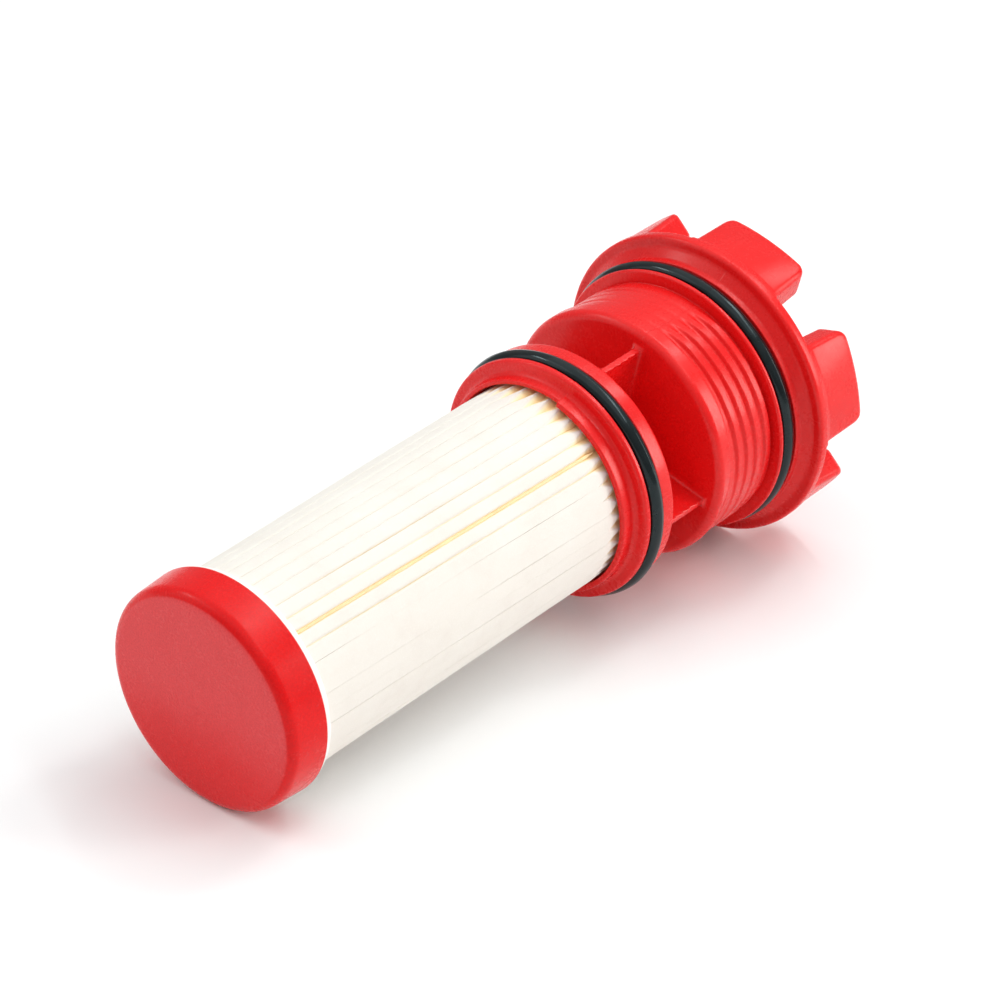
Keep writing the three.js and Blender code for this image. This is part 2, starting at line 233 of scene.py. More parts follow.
# -------------------------------------------------------------------- materials
class Nodes:
    """Small helper that adds and links shader nodes."""

    def __init__(self, name):
        self.mat = bpy.data.materials.new(name)
        self.mat.use_nodes = True
        self.t = self.mat.node_tree
        self.t.nodes.clear()
        self.out = self.t.nodes.new("ShaderNodeOutputMaterial")
        self.bsdf = self.t.nodes.new("ShaderNodeBsdfPrincipled")
        self.t.links.new(self.bsdf.outputs[0], self.out.inputs[0])
        self.coord = self.t.nodes.new("ShaderNodeTexCoord").outputs["Object"]

    def add(self, kind, **values):
        n = self.t.nodes.new(kind)
        for k, v in values.items():
            if k.startswith("_"):
                setattr(n, k[1:], v)
        return n

    def link(self, a, b):
        self.t.links.new(a, b)

    def scaled(self, scale, offset=(0, 0, 0)):
        n = self.t.nodes.new("ShaderNodeMapping")
        n.inputs["Scale"].default_value = scale
        n.inputs["Location"].default_value = offset
        self.link(self.coord, n.inputs["Vector"])
        return n.outputs[0]

    def noise(self, scale, detail=3.0, rough=0.5, vector=None, distortion=0.0):
        n = self.t.nodes.new("ShaderNodeTexNoise")
        n.inputs["Scale"].default_value = scale
        n.inputs["Detail"].default_value = detail
        n.inputs["Roughness"].default_value = rough
        n.inputs["Distortion"].default_value = distortion
        self.link(vector if vector is not None else self.coord, n.inputs["Vector"])
        return n.outputs["Fac"]

    def voronoi(self, scale, vector=None, feature="F1", out="Distance"):
        n = self.t.nodes.new("ShaderNodeTexVoronoi")
        n.feature = feature
        n.inputs["Scale"].default_value = scale
        self.link(vector if vector is not None else self.coord, n.inputs["Vector"])
        return n.outputs[out]

    def ramp(self, fac, stops, interpolation="EASE"):
        n = self.t.nodes.new("ShaderNodeValToRGB")
        n.color_ramp.interpolation = interpolation
        e = n.color_ramp.elements
        while len(e) < len(stops):
            e.new(0.5)
        for i, (pos, col) in enumerate(stops):
            e[i].position = pos
            e[i].color = (*col, 1.0) if len(col) == 3 else col
        self.link(fac, n.inputs["Fac"])
        return n.outputs["Color"]

    def remap(self, value, a, b, c, d):
        n = self.t.nodes.new("ShaderNodeMapRange")
        n.clamp = True
        for key, v in zip(("From Min", "From Max", "To Min", "To Max"), (a, b, c, d)):
            n.inputs[key].default_value = v
        self.link(value, n.inputs["Value"])
        return n.outputs["Result"]

    def math(self, op, a, b=None):
        n = self.t.nodes.new("ShaderNodeMath")
        n.operation = op
        for i, v in enumerate((a, b)):
            if v is None:
                continue
            if isinstance(v, (int, float)):
                n.inputs[i].default_value = v
            else:
                self.link(v, n.inputs[i])
        return n.outputs[0]

    def mix(self, fac, a, b, blend="MIX"):
        n = self.t.nodes.new("ShaderNodeMix")
        n.data_type = "RGBA"
        n.blend_type = blend
        for key, v in ((0, fac), (6, a), (7, b)):
            if isinstance(v, (int, float)):
                n.inputs[key].default_value = v
            elif isinstance(v, tuple):
                n.inputs[key].default_value = (*v, 1.0)
            else:
                self.link(v, n.inputs[key])
        return n.outputs[2]

    def bump(self, height, distance, strength=1.0, normal=None):
        n = self.t.nodes.new("ShaderNodeBump")
        n.inputs["Strength"].default_value = strength
        n.inputs["Distance"].default_value = distance
        self.link(height, n.inputs["Height"])
        if normal is not None:
            self.link(normal, n.inputs["Normal"])
        return n.outputs["Normal"]

    def radius_mm(self):
        """Distance from the filter's axis in millimetres."""
        s = self.t.nodes.new("ShaderNodeSeparateXYZ")
        self.link(self.coord, s.inputs[0])
        yy = self.math("MULTIPLY", s.outputs[1], s.outputs[1])
        zz = self.math("MULTIPLY", s.outputs[2], s.outputs[2])
        return self.math("MULTIPLY", self.math("SQRT", self.math("ADD", yy, zz)), 1000.0)

    def height_mm(self):
        s = self.t.nodes.new("ShaderNodeSeparateXYZ")
        self.link(self.coord, s.inputs[0])
        return self.math("MULTIPLY", s.outputs[2], 1000.0)

    def x_mm(self):
        s = self.t.nodes.new("ShaderNodeSeparateXYZ")
        self.link(self.coord, s.inputs[0])
        return self.math("MULTIPLY", s.outputs[0], 1000.0)


def red_nylon(name, seed, grain_height, haze, specular, mottle, painted_face_sheen=False):
    """Moulded nylon with a fine tool grain, flow marks and handling haze. The last switch adds a painted reflection on
    the flat end face.
    """
    m = Nodes(name)
    big = m.noise(42.0, 4.0, 0.55, m.scaled((1, 1, 1), (seed, 0.3, 0.1)))
    flow = m.noise(28.0, 5.0, 0.6, m.scaled((0.45, 1.6, 1.6), (seed, 0.0, 0.7)), 1.2)
    speck = m.noise(2900.0, 3.0, 0.7)
    tone = m.ramp(big, [(0.3, (0.70, 0.0060, 0.0070)), (0.5, (0.77, 0.0085, 0.0090)), (0.72, (0.82, 0.0120, 0.0120))])
    tone = m.mix(m.remap(flow, 0.35, 0.7, 0.0, 0.14), tone, (0.85, 0.018, 0.017))
    tone = m.mix(m.remap(speck, 0.38, 0.66, 0.0, mottle), tone, (0.46, 0.004, 0.007))
    if painted_face_sheen:
        # the flat end face gets a painted reflection of the floor: a pinkish sheen, speckled by the tool's grain and
        # stronger towards its upper side
        flat = m.remap(m.x_mm(), 0.075, 0.2, 1.0, 0.0)
        sheen_toward_top = m.ramp(m.math("ADD", m.remap(m.height_mm(), -14.0, 2.0, 0.0, 0.8), m.remap(big, 0.3, 0.7, -0.1, 0.15)), [(0.1, (0.35, 0.35, 0.35)), (0.9, (1.0, 1.0, 1.0))])
        painted_sheen = m.mix(m.remap(speck, 0.30, 0.70, 0.0, 1.0), (0.84, 0.100, 0.106), (0.64, 0.044, 0.050))
        tone = m.mix(m.math("MULTIPLY", m.math("MULTIPLY", flat, sheen_toward_top), 0.8), tone, painted_sheen)
    m.link(tone, m.bsdf.inputs["Base Color"])
    scuff = m.noise(160.0, 8.0, 0.72, m.scaled((0.8, 1.2, 1.2), (0.2, seed, 0.4)), 0.6)
    fine = m.noise(1500.0, 3.0, 0.55)
    rough = m.math("ADD", m.remap(scuff, 0.35, 0.75, 0.27 + haze, 0.37 + haze), m.remap(fine, 0.3, 0.7, -0.025, 0.025))
    m.link(rough, m.bsdf.inputs["Roughness"])
    m.bsdf.inputs["IOR"].default_value = 1.5
    m.bsdf.inputs["Specular IOR Level"].default_value = specular
    m.bsdf.inputs["Specular Tint"].default_value = (1.0, 0.84, 0.82, 1.0)
    peel = m.noise(420.0, 2.0, 0.45)
    grain = m.noise(3600.0, 3.0, 0.6)
    n1 = m.bump(peel, 0.00002, 0.4)
    n2 = m.bump(grain, grain_height, 0.55, n1)
    m.link(n2, m.bsdf.inputs["Normal"])
    m.bsdf.inputs["Subsurface Weight"].default_value = 0.06
    m.bsdf.inputs["Subsurface Radius"].default_value = (1.0, 0.12, 0.08)
    m.bsdf.inputs["Subsurface Scale"].default_value = 0.0012
    return m.mat


def paper(name):
    """Resin-treated filter paper: pale on the crowns, with a painted warm shade, amber to dark orange, down in the
    folds.
    """
    m = Nodes(name)
    r = m.radius_mm()
    cloud = m.noise(120.0, 5.0, 0.6)
    fibre_a = m.noise(900.0, 6.0, 0.7, m.scaled((0.35, 1.5, 1.5), (0.1, 0.0, 0.3)), 1.6)
    fibre_b = m.noise(2300.0, 4.0, 0.65, m.scaled((1.3, 0.6, 0.8), (0.5, 0.2, 0.0)), 2.2)
    crown = m.ramp(cloud, [(0.25, (0.775, 0.715, 0.655)), (0.55, (0.81, 0.76, 0.70)), (0.8, (0.84, 0.80, 0.755))])
    crown = m.mix(m.remap(fibre_a, 0.4, 0.75, 0.0, 0.4), crown, (0.81, 0.755, 0.68))
    crown = m.mix(m.remap(fibre_b, 0.5, 0.8, 0.0, 0.4), crown, (0.93, 0.905, 0.87))
    # painted shade: the deeper in a fold, the more amber to dark orange the paper is painted. It stands in for shade,
    # for light glowing through the paper and for red light bounced off the collar
    painted_fold_shade = m.ramp(
        m.remap(r, 15.8, 18.0, 0.0, 1.0),
        [(0.0, (0.70, 0.22, 0.05)), (0.24, (0.90, 0.38, 0.09)), (0.5, (0.96, 0.55, 0.19)), (0.77, (0.96, 0.72, 0.36)), (0.91, (0.96, 0.82, 0.55)), (1.0, (0.93, 0.85, 0.70))],
    )
    fold_shade_mask = m.remap(r, 17.80, 18.06, 1.0, 0.0)
    col = m.mix(fold_shade_mask, crown, painted_fold_shade)
    m.link(col, m.bsdf.inputs["Base Color"])
    m.link(m.remap(fibre_a, 0.3, 0.7, 0.78, 0.95), m.bsdf.inputs["Roughness"])
    m.bsdf.inputs["Specular IOR Level"].default_value = 0.25
    m.bsdf.inputs["Sheen Weight"].default_value = 0.15
    m.bsdf.inputs["Sheen Roughness"].default_value = 0.6
    n1 = m.bump(cloud, 0.00025, 0.35)
    n2 = m.bump(fibre_a, 0.00006, 0.6, n1)
    n3 = m.bump(fibre_b, 0.00003, 0.6, n2)
    m.link(n3, m.bsdf.inputs["Normal"])
    return m.mat


def adhesive(name):
    m = Nodes(name)
    soft = m.noise(210.0, 4.0, 0.5)
    fine = m.noise(1900.0, 3.0, 0.5)
    col = m.ramp(soft, [(0.3, (0.86, 0.85, 0.815)), (0.7, (0.93, 0.925, 0.905))])
    col = m.mix(m.remap(fine, 0.55, 0.8, 0.0, 0.3), col, (0.80, 0.78, 0.72))
    m.link(col, m.bsdf.inputs["Base Color"])
    m.link(m.remap(soft, 0.3, 0.7, 0.28, 0.46), m.bsdf.inputs["Roughness"])
    m.bsdf.inputs["Subsurface Weight"].default_value = 0.15
    m.bsdf.inputs["Subsurface Radius"].default_value = (1.0, 0.9, 0.7)
    m.bsdf.inputs["Subsurface Scale"].default_value = 0.0008
    n1 = m.bump(soft, 0.00018, 0.5)
    n2 = m.bump(fine, 0.00002, 0.4, n1)
    m.link(n2, m.bsdf.inputs["Normal"])
    return m.mat


def hot_melt(name):
    m = Nodes(name)
    soft = m.noise(330.0, 4.0, 0.55)
    col = m.ramp(soft, [(0.3, (0.92, 0.62, 0.32)), (0.7, (0.95, 0.70, 0.39))])
    m.link(col, m.bsdf.inputs["Base Color"])
    m.link(m.remap(soft, 0.3, 0.7, 0.22, 0.42), m.bsdf.inputs["Roughness"])
    m.bsdf.inputs["Subsurface Weight"].default_value = 0.2
    m.bsdf.inputs["Subsurface Radius"].default_value = (1.0, 0.6, 0.2)
    m.bsdf.inputs["Subsurface Scale"].default_value = 0.0006
    m.link(m.bump(soft, 0.00012, 0.6), m.bsdf.inputs["Normal"])
    return m.mat


def natural_nylon(name):
    m = Nodes(name)
    soft = m.noise(90.0, 4.0, 0.55)
    fine = m.noise(2100.0, 3.0, 0.55)
    col = m.ramp(soft, [(0.3, (0.66, 0.60, 0.48)), (0.7, (0.76, 0.71, 0.61))])
    m.link(col, m.bsdf.inputs["Base Color"])
    m.link(m.remap(fine, 0.3, 0.7, 0.42, 0.6), m.bsdf.inputs["Roughness"])
    m.link(m.bump(fine, 0.00003, 0.5), m.bsdf.inputs["Normal"])
    return m.mat


def rubber(name, seed):
    """Nitrile rubber with a film of assembly oil and a little dust in the pores."""
    m = Nodes(name)
    film = m.noise(240.0, 5.0, 0.6, m.scaled((1, 1, 1), (seed, 0.1, 0.2)), 0.8)
    pore = m.noise(3100.0, 4.0, 0.65)
    dust = m.noise(1300.0, 6.0, 0.75, m.scaled((1, 1, 1), (0.3, seed, 0.6)))
    col = m.ramp(film, [(0.3, (0.0035, 0.0060, 0.0065)), (0.7, (0.0075, 0.0115, 0.0125))])
    col = m.mix(m.remap(dust, 0.64, 0.85, 0.0, 0.18), col, (0.035, 0.045, 0.047))
    m.link(col, m.bsdf.inputs["Base Color"])
    m.link(m.math("ADD", m.remap(film, 0.32, 0.68, 0.10, 0.16), m.remap(pore, 0.3, 0.7, -0.015, 0.025)), m.bsdf.inputs["Roughness"])
    m.bsdf.inputs["IOR"].default_value = 1.5
    m.bsdf.inputs["Specular IOR Level"].default_value = 0.34
    m.bsdf.inputs["Specular Tint"].default_value = (0.80, 0.95, 1.0, 1.0)
    n1 = m.bump(film, 0.00003, 0.3)
    n2 = m.bump(pore, 0.000006, 0.5, n1)
    m.link(n2, m.bsdf.inputs["Normal"])
    return m.mat


def floor_white(name):
    m = Nodes(name)
    soft = m.noise(14.0, 3.0, 0.5)
    col = m.ramp(soft, [(0.3, (0.875, 0.875, 0.875)), (0.7, (0.89, 0.89, 0.89))])
    m.link(col, m.bsdf.inputs["Base Color"])
    m.bsdf.inputs["Roughness"].default_value = 0.9
    m.bsdf.inputs["Specular IOR Level"].default_value = 0.1
    return m.mat


# the cap's last argument paints a pinkish reflection onto its flat end face
RED_CAP = red_nylon("red_nylon_cap", 0.13, 0.000009, -0.05, 0.18, 0.4, True)
RED_HEADER = red_nylon("red_nylon_header", 0.57, 0.000007, -0.04, 0.33, 0.16)
PAPER = paper("cream_paper")
WHITE = adhesive("white_adhesive")
AMBER = hot_melt("amber_hot_melt")
NATURAL = natural_nylon("natural_nylon")
RUBBER_1 = rubber("black_rubber_collar", 0.21)
RUBBER_2 = rubber("black_rubber_flange", 0.83)


def place(obj, material, slot_name, *nodes):
    obj.data.materials.clear()
    obj.data.materials.append(material)
    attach(obj, "root")
    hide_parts(*nodes)
    return obj


# ---------------------------------------------------------------------- end cap
def end_cap():
    profile = rounded(
        [
            (0.0, 0.0, 0),
            (0.0, 19.62, 2.0),
            (7.8, 20.08, 0.28),
            (7.8, 19.0, 0.16),
            (2.2, 18.9, 0.8),
            (2.2, 0.0, 0),
        ]
    )
    # the flat face gets rings of its own, so that it can dish in by a few hundredths
    face = np.array([[0.0, q] for q in (0.0, 2, 4, 6, 8, 10, 12, 14, 15.5, 16.5, 17.2)])
    profile = np.vstack([face, profile[1:]])

    def warp(x, r, b):
        front = (x < 0.01) & (r < 17.6)
        x = np.where(front, 0.06 * (1 - (r / 17.6) ** 2) ** 2, x)
        outer = r > 19.1
        r = np.where(outer, r + 0.018 * periodic_noise(3, 5, b), r)
        return x, r

    v, f = lathe(profile, round_angles(256), warp)
    obj = to_object("end_cap_moulding", v, f)
    return place(weighted(obj), RED_CAP, "red_nylon", "end_cap")


def cap_adhesive():
    profile = rounded(
        [
            (2.5, 0.0, 0),
            (2.5, 18.65, 0.3),
            (7.75, 18.65, 0.1),
            (7.84, 19.66, 0.25),
            (9.15, 19.60, 0.75),
            (9.42, 18.1, 0.5),
            (9.0, 17.4, 0.3),
            (3.9, 17.4, 0.5),
            (3.8, 0.0, 0),
        ]
    )

    def warp(x, r, b):
        late = smoothstep(x, 7.85, 8.9)
        x = x + late * (0.10 * periodic_noise(5, 26, b) + 0.04 * periodic_noise(6, 60, b))
        r = r + late * (0.05 * periodic_noise(7, 34, b))
        return x, r

    v, f = lathe(profile, round_angles(420), warp)
    obj = to_object("end_cap_adhesive_bead", v, f, 60)
    return place(obj, WHITE, "white_adhesive", "end_cap_adhesive")


# ---------------------------------------------------------------- pleated media
TIP_R, ROOT_R, SHEET = 18.2, 10.3, 0.42
MEDIA_X = (4.1, 86.1)
VALLEY_0 = 135.3  # the seam's valley where the paper enters the collar


def twist(x):
    """The pleats lean round the axis by a few degrees along the element."""
    return -4.4 * (77.8 - np.asarray(x, float)) / 66.9


def upper_side(th):
    """One on the picture's upper side of the element, where the folds stand apart."""
    th = th % 360.0
    return float(1 - smoothstep(th, 90.0, 104.0) + smoothstep(th, 250.0, 290.0))


def valley(k):
    """Half opening at the crowns, and the depth below them where the folds touch, in mm."""
    k = (k + 21) % 42 - 21
    special = {0: (0.48, 0.95), 1: (0.33, 0.34), -1: (0.27, 0.28), -2: (0.2, 0.2), 2: (0.02, 0.05)}
    wave = abs(math.sin(2.1 * k + 0.6))
    upper = upper_side(VALLEY_0 + PITCH_DEG * k - CLOCK - 30.0)
    return special.get(k, (0.003 + (0.04 + 0.16 * wave) * upper, 0.012 + (0.05 + 0.10 * wave) * upper))


def pleated_media():
    xs = np.concatenate(
        [
            np.linspace(MEDIA_X[0], 9.0, 5),
            np.linspace(10.2, 70.0, 42),
            np.linspace(71.0, 80.6, 29),
            np.linspace(81.4, MEDIA_X[1], 5),
        ]
    )
    r = np.random.default_rng(23)
    n = 42
    lean = r.normal(0, 0.05, n)
    lift = r.normal(0, 1.0, n)
    phase = r.uniform(0, 6.283, (n, 3))
    pinch_start = r.normal(0, 0.45, n)
    tip_width = r.uniform(0.8, 1.25, n)
    tip_lean = r.normal(0, 0.16, n)
    half = math.tan(math.radians(PITCH_DEG) / 2)  # half pitch over radius
    # how far each pleat lies from the top of the picture side, in degrees
    centre_0 = [(VALLEY_0 + PITCH_DEG * (i + 0.5) - CLOCK - 30.0) % 360.0 for i in range(n)]
    loops_out, loops_in = [], []
    for x in xs:
        out, inn = [], []
        for i in range(n):
            # pleat i lies between valley i and valley i + 1
            low = float(smoothstep(centre_0[i], 92.0, 104.0))
            start = 75.9 + 1.5 * low + pinch_start[i]
            pin = min(1.0, max(0.0, (x - start) / (81.0 - start))) ** 1.05
            wave = math.sin(x / 9.0 + phase[i, 0]) + 0.6 * math.sin(x / 4.1 + phase[i, 1])
            centre = VALLEY_0 + PITCH_DEG * (i + 0.5) + float(twist(x))
            centre += 0.06 * wave + lean[i]
            upper = upper_side(centre_0[i])
            drop_max = 0.03 + 0.10 * upper
            top = TIP_R + 0.012 * lift[i] - 0.012 * wave - 0.12 * pin
            flank = {}
            for side, k in ((-1, i), (1, i + 1)):
                gap, depth = valley(k)
                touch = TIP_R - drop_max - depth
                # toward the collar the folds are pinched together, which opens a notch
                crown_w = (half * top - gap) * (1 - pin) + (0.09 * tip_width[i] + side * tip_lean[i] * 0.25) * pin
                touch_r = touch * (1 - pin) + (17.2 + 0.06 * low) * pin
                flank[side] = (max(0.05, crown_w), touch_r)
            pts = []
            for q in np.linspace(-1, 1, 13):
                w = flank[-1][0] if q < 0 else flank[1][0]
                drop = (drop_max * (1 - pin) + 0.12 * pin) * (1 - math.sqrt(max(0.0, 1 - abs(q) ** 2.8)))
                pts.append((w * q, top - drop))
            line = []
            for side in (-1, 1):
                w, tr = flank[side]
                edge_r = top - (drop_max * (1 - pin) + 0.12 * pin)
                wt = half * tr - 0.003
                rows = []
                for f in (0.25, 0.55, 0.85):
                    e = f ** (1.0 + 0.35 * pin)
                    rows.append((side * (w + (wt - w) * e), edge_r + (tr - edge_r) * f))
                rows.append((side * wt, tr - 0.02))
                rows.append((side * min(wt, half * 13.0 - 0.02), 13.0))
                rows.append((side * 0.60, ROOT_R + 0.25))
                line.append(rows)
            left = line[0][::-1]
            right = line[1]
            c, s = math.cos(math.radians(centre)), math.sin(math.radians(centre))
            low = math.radians(centre - PITCH_DEG / 2)
            out.append((x, ROOT_R * math.cos(low), ROOT_R * math.sin(low)))
            for u, v in left + pts + right:
                out.append((x, v * c - u * s, v * s + u * c))
            t = SHEET * (1 - 0.45 * pin)
            inner_pts = []
            for q in np.linspace(-1, 1, 7):
                w = max(0.03, (flank[-1][0] if q < 0 else flank[1][0]) - t * 0.9)
                inner_pts.append((w * q, top - t - 0.15 * pin - 0.1 * abs(q) ** 3))
            il = [(-0.18, ROOT_R - SHEET + 0.15), (-(half * 13.0 - 0.45), 13.0), (-(half * 15.9 - 0.46), 15.6)]
            ir = [(half * 15.9 - 0.46, 15.6), (half * 13.0 - 0.45, 13.0), (0.18, ROOT_R - SHEET + 0.15)]
            inn.append((x, (ROOT_R - SHEET) * math.cos(low), (ROOT_R - SHEET) * math.sin(low)))
            for u, v in il + inner_pts + ir:
                inn.append((x, v * c - u * s, v * s + u * c))
        loops_out.append(np.array(out))
        loops_in.append(np.array(inn))
    mo, mi = len(loops_out[0]), len(loops_in[0])
    verts = np.concatenate(loops_out + loops_in)
    base = len(xs) * mo
    faces = []
    for j in range(len(xs) - 1):
        for k in range(mo):
            k2 = (k + 1) % mo
            faces.append((j * mo + k, j * mo + k2, (j + 1) * mo + k2, (j + 1) * mo + k))
        for k in range(mi):
            k2 = (k + 1) % mi
            faces.append((base + j * mi + k, base + (j + 1) * mi + k, base + (j + 1) * mi + k2, base + j * mi + k2))
    # the two cut edges of the sheet
    po, pi = mo // n, mi // n
    for j, flip in ((0, False), (len(xs) - 1, True)):
        for i in range(n):
            o = [j * mo + (i * po + k) % mo for k in range(po + 1)]
            q = [base + j * mi + (i * pi + k) % mi for k in range(pi + 1)]
            a = b = 0
            while a < po or b < pi:
                fa, fb = (a + 1) / po, (b + 1) / pi
                if b >= pi or (a < po and fa <= fb):
                    tri = (o[a], q[b], o[a + 1])
                    a += 1
                else:
                    tri = (o[a], q[b], q[b + 1])
                    b += 1
                faces.append(tuple(reversed(tri)) if flip else tri)
    obj = to_object("pleated_paper", verts, oriented(verts, faces), 60)
    return place(obj, PAPER, "cream_paper", "pleated_media")


def side_seam():
    """A thin irregular bead of hot melt that lies in one valley."""
    xs = np.linspace(9.6, 80.0, 150)
    r = np.random.default_rng(31)
    wob = np.interp(xs, np.linspace(9, 81, 30), r.normal(0, 1, 30))
    fat = np.interp(xs, np.linspace(9, 81, 24), r.normal(0, 1, 24))
    sections = []
    for x, a, g in zip(xs, wob, fat):
        b = math.radians(VALLEY_0 + float(twist(x)) + 0.05 * a)
        end = float(smoothstep(x, 9.6, 11.0) * smoothstep(x, 80.0, 78.0))
        hw = (0.46 + 0.04 * g) * (0.4 + 0.6 * end)
        top = 17.84 + 0.03 * a + 0.03 * g
        loop = []
        for q in np.linspace(0, 2 * math.pi, 16, endpoint=False):
            u = hw * math.cos(q) * (0.62 + 0.38 * math.sin(q))
            v = (top - 0.36) + 0.36 * math.sin(q) * (0.9 + 0.1 * end)
            loop.append((x, v * math.cos(b) - u * math.sin(b), v * math.sin(b) + u * math.cos(b)))
        sections.append(np.array(loop))
    v, f = loft(sections)
    obj = to_object("side_seam_bead", v, f, 60)
    return place(obj, AMBER, "amber_hot_melt", "media_side_seam")


# -------------------------------------------------------------------- core tube
def core_tube():
    profile = rounded([(4.1, 9.3, 0.15), (87.5, 9.3, 0.25), (87.5, 7.9, 0.25), (4.1, 7.9, 0.15)], closed=True)
    v, f = lathe(profile, round_angles(96))
    tube = to_object("perforated_core", v, f)
    cuts = []
    for i in range(9):
        x0 = 9.1 + i * (83.4 - 14) / 8
        loop = rounded(
            [(x0, -1.7, 1.2), (x0 + 4.6, -1.7, 1.2), (x0 + 4.6, 1.7, 1.2), (x0, 1.7, 1.2)], closed=True, step=22
        )
        for turn in (0, 90):
            if (i % 2) != (turn // 90):
                continue
            a = math.radians(turn + 22.5)
            ring = []
            for h in (-11.5, 11.5):
                ring.append(
                    np.array([(p[0], h * math.cos(a) - p[1] * math.sin(a), h * math.sin(a) + p[1] * math.cos(a)) for p in loop])
                )
            m = len(loop)
            faces = [(k, (k + 1) % m, m + (k + 1) % m, m + k) for k in range(m)]
            faces += [tuple(reversed(range(m))), tuple(range(m, 2 * m))]
            vv = np.concatenate(ring)
            cuts.append(to_object("slot", vv, oriented(vv, faces)))
    combine(tube, cuts, "DIFFERENCE")
    finish_shading(tube.data, 38)
    return place(weighted(tube), NATURAL, "natural_nylon", "core_tube")


def header_adhesive():
    profile = rounded([(86.4, 9.6, 0.2), (86.4, 18.25, 0.3), (87.5, 18.25, 0.1), (87.5, 9.6, 0.1)], closed=True)
    profile = np.vstack([refine(np.vstack([profile, profile[:1]]), 1.5)[:-1]])

    def warp(x, r, b):
        skin = smoothstep(x, 86.9, 86.5)
        x = x - 0.04 + skin * 0.10 * periodic_noise(9, 40, b)
        return np.clip(x, 86.2, 87.6), r

    v, f = lathe(profile, round_angles(240), warp)
    obj = to_object("collar_adhesive_bed", v, f, 60)
    return place(obj, WHITE, "white_adhesive", "header_adhesive")


# ----------------------------------------------------------------------- header
MISMATCH = 0.07


def mould_step(x, r, b, inner=18.9):
    """The two halves of the mould meet a few hundredths apart, with a hair of flash."""
    d = angle_from(b, PARTING[0])
    half = np.where(d > 0, 1.0, -1.0)
    soft = np.tanh(d / 0.12) * np.tanh((180.0 - np.abs(d)) / 0.12)
    shift = MISMATCH * np.cos(np.radians(d)) * soft
    flash = 0.03 * (np.exp(-((d / 0.16) ** 2)) + np.exp(-(((180.0 - np.abs(d)) / 0.16) ** 2)))
    outer = smoothstep(r, inner, inner + 0.5)
    return r + outer * (0.5 * shift + flash)


def collar():
    profile = rounded(
        [
            (80.1, 18.55, 0.22),
            (80.1, 19.6, 0.28),
            (82.95, 19.6, 0.9),
            (83.1, 22.0, 0.62),
            (84.2, 22.0, 0.15),
            (84.2, 19.8, 0.3),
            (87.3, 19.8, 0.3),
            (87.3, 22.05, 0.15),
            (90.3, 22.05, 0.62),
            (90.3, 8.0, 0.35),
            (87.8, 8.0, 0.3),
            (87.8, 18.5, 0.5),
        ],
        closed=True,
        step=9,
    )

    def warp(x, r, b):
        r2 = mould_step(x, r, b)
        d = angle_from(b, PARTING[0])
        half = 0.5 + 0.5 * np.tanh(d / 0.15) * np.tanh((180.0 - np.abs(d)) / 0.15)
        # on the first half of the mould the lip sits back and runs into a wide cove
        back = (1 - half) * (r > 18.52) * (1 - smoothstep(x, 80.3, 83.0))
        x = x + back * 0.85
        r2 = r2 - back * 0.22 * smoothstep(r, 18.9, 19.5)
        return x, r2

    profile = refine(np.vstack([profile, profile[:1]]), 0.9)[:-1]
    v, f = lathe(profile, round_angles(288, PARTING), warp)
    return to_object("header_moulding", v, f)


THREAD_P, THREAD_X0, ROOT, CREST = 2.5, 106.3, 22.15, 22.85


def thread_height(x, b):
    """Height of the interrupted thread above its root."""
    turn = (b - CLOCK) % 360.0
    along = x - THREAD_X0 - THREAD_P * turn / 360.0
    k = np.round(along / THREAD_P)
    off = along - k * THREAD_P
    crest = 1 - smoothstep(np.abs(off), 0.55, 1.12)
    total = turn / 360.0 + k  # turns from the thread's start
    # each half of the mould starts its thread at the parting line and leaves a land
    # before the next one
    d = (b - PARTING[0]) % 180.0
    amp = smoothstep(d, 0.2, 16.0) ** 0.8 * (1 - 0.62 * smoothstep(d, 48.0, 100.0)) * (1 - 0.9 * smoothstep(d, 118.0, 158.0))
    run = smoothstep(total, -1.0, -0.72) * (1 - smoothstep(total, 3.5, 3.62))
    return (CREST - ROOT) * crest * amp * run


